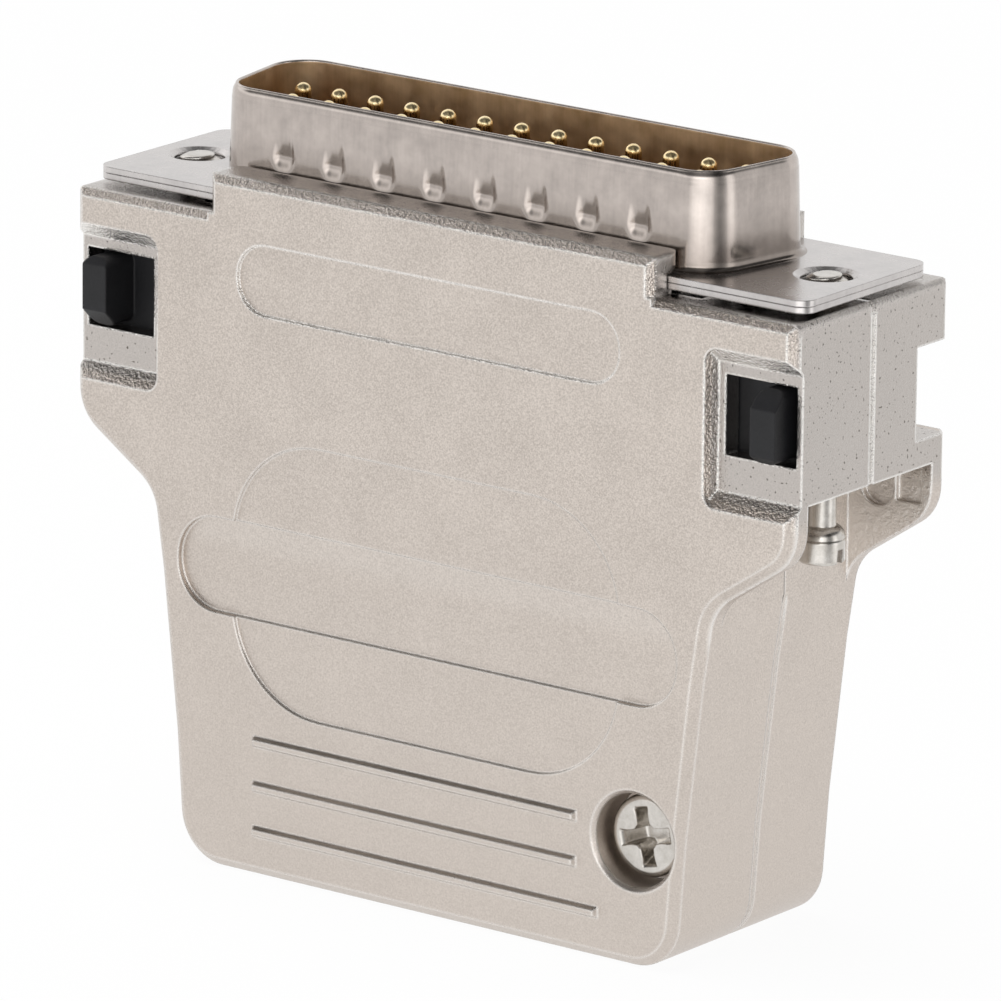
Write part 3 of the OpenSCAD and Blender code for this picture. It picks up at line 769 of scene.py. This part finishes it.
@dataclass
class Skirt:
    """D-shaped skirt drawn out of the flange, with rolled rim and grounding dents; lengths in metres."""

    # The outer sheet is darkened at its foot as painted shade.
    outside: DrawnSheet = DrawnSheet("skirt_sheet", (0.56, 0.50, 0.46), (0.43, 0.385, 0.355),
                                     rough=(0.12, 0.20), foot=(0.20, 0.165, 0.14), foot_shade_share=0.6)
    # Painted reflection: the inner wall's warm brown-gold stands in for the pins and insulators mirrored in
    # it.
    inside: DrawnSheet = DrawnSheet("inner_sheet_painted_reflection", (0.74, 0.55, 0.36), (0.53, 0.38, 0.235),
                                    rough=(0.36, 0.48))
    half_length: float = 19.88 * MM
    depth: float = 9.16 * MM
    slope: float = math.radians(10.0)
    corner: float = 2.6 * MM
    sheet: float = 0.4 * MM
    draft: float = 0.20 * MM
    fillet: float = 0.40 * MM
    rim: float = 0.72 * MM
    rim_in: float = 0.18 * MM
    rim_power: float = 2.4
    sink: float = 0.36 * MM
    dents: int = 8
    dent_pitch: float = 3.8 * MM
    dent_width: float = 1.95 * MM
    dent_depth: float = 0.30 * MM
    dent_crease: float = 2.2 * MM
    dent_ramp: float = 2.0 * MM
    dent_end: float = 1.05 * MM
    dent_flat: float = 0.36
    dent_taper: float = 0.10
    dent_round: float = 0.75
    inner_dent: float = 0.5
    long_side: float = 0.999
    step: float = 0.13 * MM
    corner_steps: int = 28
    fillet_rows: int = 8
    wall_rows: int = 52
    roll_rows: int = 14
    bend_rows: int = 10
    inner_rows: int = 28

    def path(self) -> tuple[np.ndarray, np.ndarray]:
        """Walks round the D: four straight sides joined by four arcs.

        Each corner's arc is its centre plus the radius times a unit vector that turns from one side's normal
        to the next, and each straight side is a line between two arcs' ends, cut into equal steps.

        Returns:
            The points and the outward unit normals, each columns by 2.
        """
        side = self.depth / 2 - self.corner
        narrow = self.half_length - self.depth * math.tan(self.slope)
        wide_x = self.half_length - self.corner * (math.tan(self.slope) + 1.0 / math.cos(self.slope))
        narrow_x = narrow - self.corner * (1.0 / math.cos(self.slope) - math.tan(self.slope))
        centres = np.array([[narrow_x, -side], [wide_x, side], [-wide_x, side], [-narrow_x, -side]])
        starts = np.array([-math.pi / 2, -self.slope, math.pi / 2, math.pi + self.slope])
        ends = np.array([-self.slope, math.pi / 2, math.pi + self.slope, 1.5 * math.pi])
        places, normals = [], []
        for k in range(len(centres)):
            turn = np.linspace(starts[k], ends[k], self.corner_steps)
            normal = np.stack([np.cos(turn), np.sin(turn)], axis=1)
            places.append(centres[k] + self.corner * normal)
            normals.append(normal)
            first = places[-1][-1]
            last = centres[(k + 1) % len(centres)] + self.corner * normal[-1]
            count = max(int(np.linalg.norm(last - first) / self.step), 2)
            share = np.linspace(0.0, 1.0, count + 1)[1:-1, None]
            places.append(first + share * (last - first))
            normals.append(np.repeat(normal[-1:], len(share), axis=0))
        return np.concatenate(places), np.concatenate(normals)

    def profile(self, height: float) -> tuple[np.ndarray, np.ndarray]:
        """Draws the sheet's section: fillet, leaning wall, rim and inner wall.

        The rim leans in by a power of the height above its start, and an elliptic round ends it.

        Args:
            height: height of the rim above the flange.

        Returns:
            Outward offset and height above the flange of each row.
        """
        turn = np.linspace(0.0, math.pi / 2, self.fillet_rows)
        low_offset = self.draft + self.fillet * (1.0 - np.sin(turn))
        low_height = self.fillet * (1.0 - np.cos(turn))
        wall = np.linspace(self.fillet, height - self.rim, self.wall_rows)[1:-1]
        lean = self.draft * (1.0 - wall / height)
        top = (self.sheet - self.rim_in) / 2
        share = np.linspace(0.0, 1.0, self.roll_rows)
        roll_offset = -self.rim_in * share ** self.rim_power
        roll_height = height - self.rim + (self.rim - top) * share
        bend = np.linspace(0.0, math.pi, self.bend_rows)[1:]
        bend_offset = -self.rim_in - top * (1.0 - np.cos(bend))
        bend_height = height - top * (1.0 - np.sin(bend))
        inner_offset = np.full(self.inner_rows, -self.sheet)
        inner_height = np.linspace(height - 2.0 * top, -self.sink, self.inner_rows)
        offsets = np.concatenate([low_offset, lean, roll_offset, bend_offset, inner_offset])
        heights = np.concatenate([low_height, wall, roll_height, bend_height, inner_height])
        return offsets, heights

    def dent(self, along: np.ndarray, height: np.ndarray) -> np.ndarray:
        """Depth of the dents pressed into a long side.

        Above its crease a dent is a flat ramp that runs out upwards, and below it a spoon-shaped end that
        runs out more steeply along a smooth step. Across, it is flat in the middle with soft walls.

        Args:
            along: distance along the side from its middle.
            height: height above the flange.

        Returns:
            Depth at each point.
        """
        middle = (self.dents - 1) / 2
        nearest = np.clip(np.round(along / self.dent_pitch + middle), 0, self.dents - 1)
        across = np.abs(along - (nearest - middle) * self.dent_pitch) / (self.dent_width / 2)
        above = np.clip((height - self.dent_crease) / self.dent_ramp, 0.0, 1.0)
        below = np.clip((self.dent_crease - height) / self.dent_end, 0.0, 1.0)
        narrowed = across * (1.0 + self.dent_taper * above) / np.sqrt(1.0 - self.dent_round * below * below)
        flat = 1.0 - smooth_step(narrowed, self.dent_flat, 1.0)
        return self.dent_depth * flat * (1.0 - above) * (1.0 - smooth_step(below, 0.0, 1.0))

    def build(self, top: float, rim: float) -> bpy.types.Object:
        """Sweeps the section round the D, presses the dents in and dresses both walls.

        A point is its place on the D, moved along the outward normal by the section's offset less the dent's
        depth there, at the section's height. On the inner wall the dents are shallower.

        Args:
            top: height of the flange's upper face.
            rim: height of the skirt's rim.

        Returns:
            The skirt.
        """
        places, normals = self.path()
        offsets, heights = self.profile(rim - top)
        is_long = np.abs(normals[:, 1]) > self.long_side
        depth = self.dent(places[None, :, 0], heights[:, None]) * is_long[None, :]
        depth[-self.inner_rows:] *= self.inner_dent
        moved = places[None] + (offsets[:, None] - depth)[..., None] * normals[None]
        level = np.broadcast_to((top + heights)[:, None, None], (*moved.shape[:2], 1))
        skirt = grid_piece("skirt", np.concatenate([moved, level], axis=2))
        # The inner wall's finish is a painted reflection.
        for finish in (self.outside, self.inside):
            skirt.data.materials.append(finish.material())
        strip = np.arange(len(heights) - 1)
        is_inner = (strip >= len(strip) - self.inner_rows).astype(np.int32)
        skirt.data.polygons.foreach_set("material_index", np.repeat(is_inner, len(places)))
        return skirt


@dataclass
class Connector:
    """Pin connector: flange sheets, skirt, insulators and contacts."""

    sheet: DrawnSheet = DrawnSheet()
    # The contacts get painted shade low down, where they sit in the dark inside.
    gold: PlatedMetal = PlatedMetal("gold_contact", (1.0, 0.84, 0.52), (0.95, 0.74, 0.40), (0.14, 0.22),
                                    edge=0.16 * MM, low_shade=(0.30, 0.19, 0.08),
                                    low_shade_from=(46.95 * MM, 46.4 * MM))
    brown: MouldedPlastic = MouldedPlastic("brown_insulator", (0.36, 0.24, 0.11), (0.24, 0.15, 0.065),
                                           (0.4, 0.55))
    skirt: Skirt = field(default_factory=Skirt)
    level_slack: float = 0.02 * MM
    merge_digits: int = 7

    def build(self) -> None:
        """Makes the skirt and the flange plate and dresses the rest."""
        sheet = self.sheet.material()
        dress(["rear_shell"], sheet)
        dress(PINS, self.gold.material())
        dress(["front_insulator", "rear_insulator"], self.brown.material())
        low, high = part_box("front_shell")
        top = low.z + self.skirt.sheet
        plate = self.plate(top)
        plate.data.materials.append(sheet)
        skirt = self.skirt.build(top, high.z)
        for piece in (plate, skirt):
            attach(piece, "hood")
            LOG.info("made %s", piece.name)
        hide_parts("front_shell")

    def plate(self, top: float) -> bpy.types.Object:
        """Copies the front shell, merged, without what stands above the flange.

        Args:
            top: height of the flange's upper face.

        Returns:
            The flange plate.
        """
        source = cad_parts["front_shell"].data
        points = np.empty(3 * len(source.vertices))
        source.vertices.foreach_get("co", points)
        corners = np.empty(len(source.loops), dtype=np.int32)
        source.loops.foreach_get("vertex_index", corners)
        rounded = np.round(points.reshape(-1, 3), self.merge_digits)
        merged, index = np.unique(rounded, axis=0, return_inverse=True)
        faces = index.reshape(-1)[corners].reshape(-1, 3)
        low_faces = faces[merged[faces, 2].max(axis=1) < top + self.level_slack]
        used, index = np.unique(low_faces, return_inverse=True)
        mesh = bpy.data.meshes.new("flange_plate")
        mesh.from_pydata(merged[used].tolist(), [], index.reshape(-1, 3).tolist())
        return put("flange_plate", mesh)


@dataclass
class Jackscrew:
    """Captive jackscrew: slotted, domed head, thin neck and threaded end; lengths in metres."""

    node: str
    finish: bpy.types.Material
    head: float = 2.2 * MM
    dome: float = 0.75 * MM
    foot_edge: float = 0.15 * MM
    slot_width: float = 0.6 * MM
    slot_depth: float = 0.9 * MM
    neck: float = 0.85 * MM
    thread_from: float = 4.6 * MM
    pitch: float = 0.635 * MM
    thread_depth: float = 0.32 * MM
    chamfer: float = 0.4 * MM
    tip: float = 0.3 * MM
    gap: float = 0.05 * MM
    nick: float = 0.02 * MM
    columns: int = 160
    rows: tuple[int, ...] = (24, 4, 12, 12, 6, 90, 8, 6)

    def build(self) -> None:
        """Turns the screw's section about its axis and winds the thread.

        A point lies at its section's radius and height. On the threaded stretch the radius falls by the
        thread's depth times a triangle wave of height over pitch less the share of a turn. Under the head,
        points nearer the middle plane than half the slot's width rise by its depth.
        """
        low, high = (np.array(corner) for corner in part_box(self.node))
        middle = (low + high) / 2
        section, zone = self.section(low[2], high[2], (high[0] - low[0]) / 2)
        radius, height = section[:, :1], section[:, 1:]
        turn = np.linspace(0.0, 2.0 * math.pi, self.columns, endpoint=False)[None]
        wave = np.abs(np.mod(height / self.pitch - turn / (2.0 * math.pi), 1.0) - 0.5) * 2.0
        reach = radius - (zone == Zone.THREAD.value) * self.thread_depth * wave
        x = reach * np.cos(turn)
        y = reach * np.sin(turn)
        in_slot = (np.abs(y) < self.slot_width / 2) & (zone == Zone.FOOT.value)
        z = np.where(in_slot, np.maximum(height, low[2] + self.slot_depth), height)
        piece = grid_piece(self.node + "_turned", np.stack([middle[0] + x, middle[1] + y, z], axis=-1))
        piece.data.materials.append(self.finish)
        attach(piece, self.node)
        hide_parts(self.node)
        LOG.info("made %s", piece.name)

    def section(self, low: float, high: float, outer: float) -> tuple[np.ndarray, np.ndarray]:
        """Draws the screw's section from the foot of its head to its tip.

        Args:
            low: height of the head's foot.
            high: height of the tip.
            outer: radius of the head.

        Returns:
            Radius and height of each row, rows by 2, and its zone's value, rows by 1.
        """
        top = low + self.head
        shoulder = top - self.dome
        thread = outer - self.nick
        start, end = high - self.thread_from, high - self.chamfer
        edge, rows = self.foot_edge, self.rows
        stretches = [
            (Zone.FOOT, line((0.0, low), (outer - edge, low), rows[0])),
            (Zone.FOOT, line((outer - edge + self.gap, low + self.nick), (outer, low + edge), rows[1])),
            (Zone.FOOT, line((outer, low + edge + self.gap), (outer, shoulder), rows[2])),
            (Zone.PLAIN, quarter((outer, shoulder), (self.neck, top), rows[3])),
            (Zone.PLAIN, line((self.neck, top + self.gap), (self.neck, start), rows[4])),
            (Zone.THREAD, line((thread, start), (thread, end), rows[5])),
            (Zone.THREAD, line((thread - self.nick, end), (thread - self.chamfer, high), rows[6])),
            (Zone.PLAIN, line((thread - self.chamfer - self.tip, high), (0.0, high), rows[7])),
        ]
        zones = [np.full((len(points), 1), zone.value) for zone, points in stretches]
        return np.concatenate([points for _, points in stretches]), np.concatenate(zones)


@dataclass
class CoverScrew:
    """Cover screw with a cross recess, its head facing the front or the rear; lengths in metres."""

    node: str
    facing: Facing
    finish: bpy.types.Material
    shank: float = 1.5 * MM
    chamfer: float = 0.3 * MM
    head: float = 1.4 * MM
    rim: float = 0.45 * MM
    arm: float = 1.95 * MM
    arm_width: float = 0.95 * MM
    arm_flare: tuple[float, float, float] = (1.45, -2.0, 1.7)
    arm_wall: Span = (0.86, 1.12)
    arm_run: Span = (0.45, 1.0)
    pit: Span = (0.34, 0.46)
    recess: float = 1.60 * MM
    tilt: float = math.radians(-12.0)
    columns: int = 288
    rim_rows: int = 10
    face_rows: int = 60

    def build(self) -> None:
        """Turns the screw about its axis and sinks the cross into its head.

        A point lies at its section's radius and distance from the tip, and a point of the head's face sinks
        by the depth of the cross there.
        """
        low, high = (np.array(corner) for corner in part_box(self.node))
        middle = (low + high) / 2
        length = high[1] - low[1]
        section = self.section(length, (high[0] - low[0]) / 2)
        radius, level = section[:, :1], section[:, 1:]
        turn = np.linspace(0.0, 2.0 * math.pi, self.columns, endpoint=False)[None]
        u = radius * np.cos(turn)
        v = radius * np.sin(turn)
        w = level - self.cross(u, v) * (level > length - self.rim)
        way = self.facing.value
        start = high[1] if self.facing is Facing.FRONT else low[1]
        grid = np.stack([middle[0] + u * way, start + way * w, middle[2] + v], axis=-1)
        piece = grid_piece(self.node + "_turned", grid)
        piece.data.materials.append(self.finish)
        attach(piece, "hood")
        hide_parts(self.node)
        LOG.info("made %s", piece.name)

    def section(self, length: float, outer: float) -> np.ndarray:
        """Draws the screw's section from its tip to the middle of its head.

        Args:
            length: length of the screw.
            outer: radius of the head.

        Returns:
            Radius of each row and its distance from the tip, rows by 2.
        """
        seat = length - self.head
        edge = outer - self.rim
        return np.concatenate([
            [(0.0, 0.0), (self.shank - self.chamfer, 0.0), (self.shank, self.chamfer)],
            [(self.shank, seat), (outer, seat), (outer, seat + self.chamfer)],
            quarter((outer, length - self.rim), (edge, length), self.rim_rows),
            line((edge, length), (0.0, length), self.face_rows)[1:],
        ])

    def cross(self, u: np.ndarray, v: np.ndarray) -> np.ndarray:
        """Depth of the cross recess.

        It is the recess's depth times a soft step at the edge of two crossed arms. An arm's width is a square
        law of the distance along it, least about halfway, it shallows at its end, and a round pit joins both.

        Args:
            u: distance across the head.
            v: distance up the head.

        Returns:
            Depth at each point.
        """
        wide, slope, bend = self.arm_flare
        near, far = self.arm_wall
        depth = np.zeros_like(u)
        for turn in (self.tilt, self.tilt + math.pi / 2):
            along = np.abs(u * math.cos(turn) + v * math.sin(turn))
            aside = np.abs(v * math.cos(turn) - u * math.sin(turn))
            share = np.clip(along / self.arm, 0.0, 1.0)
            half_width = self.arm_width / 2 * (wide + slope * share + bend * share ** 2)
            inside = 1.0 - smooth_step(aside, near * half_width, far * half_width)
            depth = np.maximum(depth, inside * self.recess * (1.0 - smooth_step(share, *self.arm_run)))
        pit = 1.0 - smooth_step(np.hypot(u, v) / self.arm, *self.pit)
        return np.maximum(depth, pit * self.recess)


@dataclass
class Fasteners:
    """The two jackscrews and the two cover screws."""

    steel: PlatedMetal = PlatedMetal("bright_screw", (0.70, 0.67, 0.63), (0.56, 0.53, 0.49), (0.16, 0.28))

    def build(self) -> None:
        """Makes all four screws."""
        finish = self.steel.material()
        for node in ("left_jackscrew", "right_jackscrew"):
            Jackscrew(node, finish).build()
        CoverScrew("front_cover_screw", Facing.FRONT, finish).build()
        CoverScrew("rear_cover_screw", Facing.REAR, finish).build()


@dataclass
class Slides:
    """The two black finger slides."""

    black: MouldedPlastic = MouldedPlastic("black_slide", (0.014, 0.014, 0.016), (0.006, 0.006, 0.007),
                                           (0.45, 0.60))

    def build(self) -> None:
        """Dresses both slides."""
        dress(["left_slide", "right_slide"], self.black.material())


@dataclass
class PhotoCamera:
    """Long-lens camera at the photograph's angle, in degrees and metres, and its sensor in millimetres."""

    azimuth: float = 37.118
    elevation: float = 15.403
    roll: float = 0.614
    distance: float = 656.251 * MM
    target: Place = (-5.979 * MM, 7.613 * MM, 21.628 * MM)
    focal_px: float = 10733.33
    frame_px: float = 1001.0
    sensor: float = 36.0
    clip: Span = (0.01, 20.0)

    def build(self) -> None:
        """Makes the camera and sets it as the scene's."""
        az, el, roll = (math.radians(angle) for angle in (self.azimuth, self.elevation, self.roll))
        back = Vector((math.sin(az) * math.cos(el), -math.cos(az) * math.cos(el), math.sin(el)))
        flat = Vector((math.cos(az), math.sin(az), 0.0))
        steep = back.cross(flat)
        right = math.cos(roll) * flat + math.sin(roll) * steep
        up = math.cos(roll) * steep - math.sin(roll) * flat
        data = bpy.data.cameras.new("photo_camera")
        data.sensor_width = self.sensor
        data.lens = self.focal_px / self.frame_px * self.sensor
        data.clip_start, data.clip_end = self.clip
        camera = put("photo_camera", data)
        turn = Matrix((right, up, back)).transposed().to_4x4()
        camera.matrix_world = Matrix.Translation(Vector(self.target) + back * self.distance) @ turn
        bpy.context.scene.camera = camera


@dataclass(frozen=True)
class Lobe:
    """Stretch of the surround round the sides that is brighter or darker, in degrees from the front."""

    middle: float
    spread: float
    gain: float


@dataclass
class Studio:
    """White floor, a surround that is white round the sides and dark overhead, and a soft overhead lamp."""

    floor_side: float = 6.0
    floor_colour: Colour = (0.90, 0.90, 0.90)
    floor_glow: float = 0.95
    side_light: float = 0.95
    top_light: float = 0.10
    fade: Span = (0.38, 0.50)
    back: Place = (-0.604, 0.797, 0.0)
    back_from: Span = (0.57, 0.77)
    back_lift: float = 0.45
    strip: Place = (-0.604, -0.797, 0.0)
    strip_from: Span = (0.0, 0.35)
    strip_rise: Span = (0.16, 0.26)
    strip_gain: float = 1.40
    lobes: tuple[Lobe, ...] = (Lobe(29.0, 32.0, 2.00), Lobe(76.0, 19.0, 0.32), Lobe(106.0, 14.0, 1.60),
                               Lobe(124.0, 16.0, 0.82))
    lobes_from: Span = (90.0 * MM, 140.0 * MM)
    lamp_place: Place = (-0.1, -0.15, 0.9)
    lamp_side: float = 0.7
    lamp_power: float = 6.0

    def build(self) -> None:
        """Makes the floor, the surround and the lamp."""
        self.floor()
        self.surround()
        self.lamp()

    def lamp(self) -> None:
        """Makes a soft lamp that lights the floor and the plastic and isn't mirrored in the metal."""
        data = bpy.data.lights.new("overhead_lamp", "AREA")
        data.size = self.lamp_side
        data.energy = self.lamp_power
        lamp = put("overhead_lamp", data)
        lamp.location = self.lamp_place
        lamp.rotation_mode = "QUATERNION"
        lamp.rotation_quaternion = (-Vector(self.lamp_place)).to_track_quat("-Z", "Y")
        lamp.visible_glossy = False

    def facing(self, d: Draft, where: Socket, way: Place) -> Socket:
        """Tells how well a direction, seen from above, points one way.

        Args:
            d: the node tree.
            where: a place or direction seen from the plug.
            way: level unit vector.

        Returns:
            A value socket, the cosine of the angle between them.
        """
        flat = d.vector("MULTIPLY", where, LEVEL).outputs["Vector"]
        unit = d.vector("NORMALIZE", flat).outputs["Vector"]
        return d.vector("DOT_PRODUCT", unit, way).outputs["Value"]

    def sides(self, d: Draft, where: Socket) -> Socket:
        """Gives the brightness of the surround by its direction round the sides.

        Args:
            d: the node tree.
            where: a place or direction seen from the plug.

        Returns:
            A value socket, 1 away from all lobes.
        """
        gain: Value = 1.0
        for lobe in self.lobes:
            turn = math.radians(lobe.middle)
            lean = self.facing(d, where, (math.sin(turn), -math.cos(turn), 0.0))
            edge = math.cos(math.radians(lobe.spread))
            gain = d.product(gain, d.ramp(lean, edge, 1.0, 1.0, lobe.gain))
        return gain

    def floor(self) -> None:
        """Makes a flat floor."""
        half = self.floor_side / 2
        corners = [(-half, -half, 0.0), (half, -half, 0.0), (half, half, 0.0), (-half, half, 0.0)]
        mesh = bpy.data.meshes.new("floor")
        mesh.from_pydata(corners, [], [(0, 1, 2, 3)])
        mesh.materials.append(self.floor_finish())
        floor = put("floor", mesh)

    def floor_finish(self) -> bpy.types.Material:
        """Draws a matt finish that looks white to the camera and, in the metal, shows painted pools of light
        and shade from the lobes.

        Returns:
            The material.
        """
        d = Draft.of_material("floor")
        path = d.add("ShaderNodeLightPath").outputs
        matt = d.add("ShaderNodeBsdfDiffuse")
        d.join((*self.floor_colour, 1.0), matt.inputs["Color"])
        where = d.place()
        # Painted pools of light and shade: far from the plug, the floor's glow seen in the metal follows the
        # lobes.
        far = d.ramp(d.vector("LENGTH", where).outputs["Value"], *self.lobes_from)
        mirrored = d.product(path["Is Glossy Ray"], far)
        level = d.add("ShaderNodeMix", data_type="FLOAT")
        d.join(mirrored, level.inputs["Factor"])
        d.join(1.0, level.inputs["A"])
        d.join(self.sides(d, where), level.inputs["B"])
        glow = d.add("ShaderNodeEmission")
        d.join(level.outputs["Result"], glow.inputs["Strength"])
        seen = d.math("MAXIMUM", path["Is Camera Ray"], path["Is Glossy Ray"])
        d.mix(d.product(seen, self.floor_glow), matt, glow)
        return d.owner

    def surround(self) -> None:
        """Makes a world that is white round the sides, dark overhead and white to the camera."""
        d = Draft.of_world("studio")
        bpy.context.scene.world = d.owner
        way = d.add("ShaderNodeTexCoord").outputs["Generated"]
        rise = d.split(way).outputs["Z"]
        away = d.ramp(self.facing(d, way, self.back), *self.back_from)
        shade = d.ramp(d.sum(rise, away, -self.back_lift), *self.fade, self.side_light, self.top_light)
        front = d.ramp(self.facing(d, way, self.strip), *self.strip_from)
        front = d.product(front, d.ramp(rise, *self.strip_rise))
        shade = d.product(shade, d.fade(front, 1.0, self.strip_gain))
        glow, white = d.add("ShaderNodeBackground"), d.add("ShaderNodeBackground")
        d.join(WHITE, glow.inputs["Color"])
        d.join(WHITE, white.inputs["Color"])
        d.join(d.product(shade, self.sides(d, way)), glow.inputs["Strength"])
        d.mix(d.add("ShaderNodeLightPath").outputs["Is Camera Ray"], glow, white)


def main() -> None:
    """Builds the studio and the plug's sub-assemblies, in order."""
    logging.basicConfig(level=logging.INFO, format="%(name)s: %(message)s")
    bpy.context.scene.view_settings.view_transform = "Standard"
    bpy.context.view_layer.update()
    PhotoCamera().build()
    Studio().build()
    for group in (Hood(), Connector(), Fasteners(), Slides()):
        LOG.info("building %s", type(group).__name__)
        group.build()


if __name__ == "__main__":
    main()
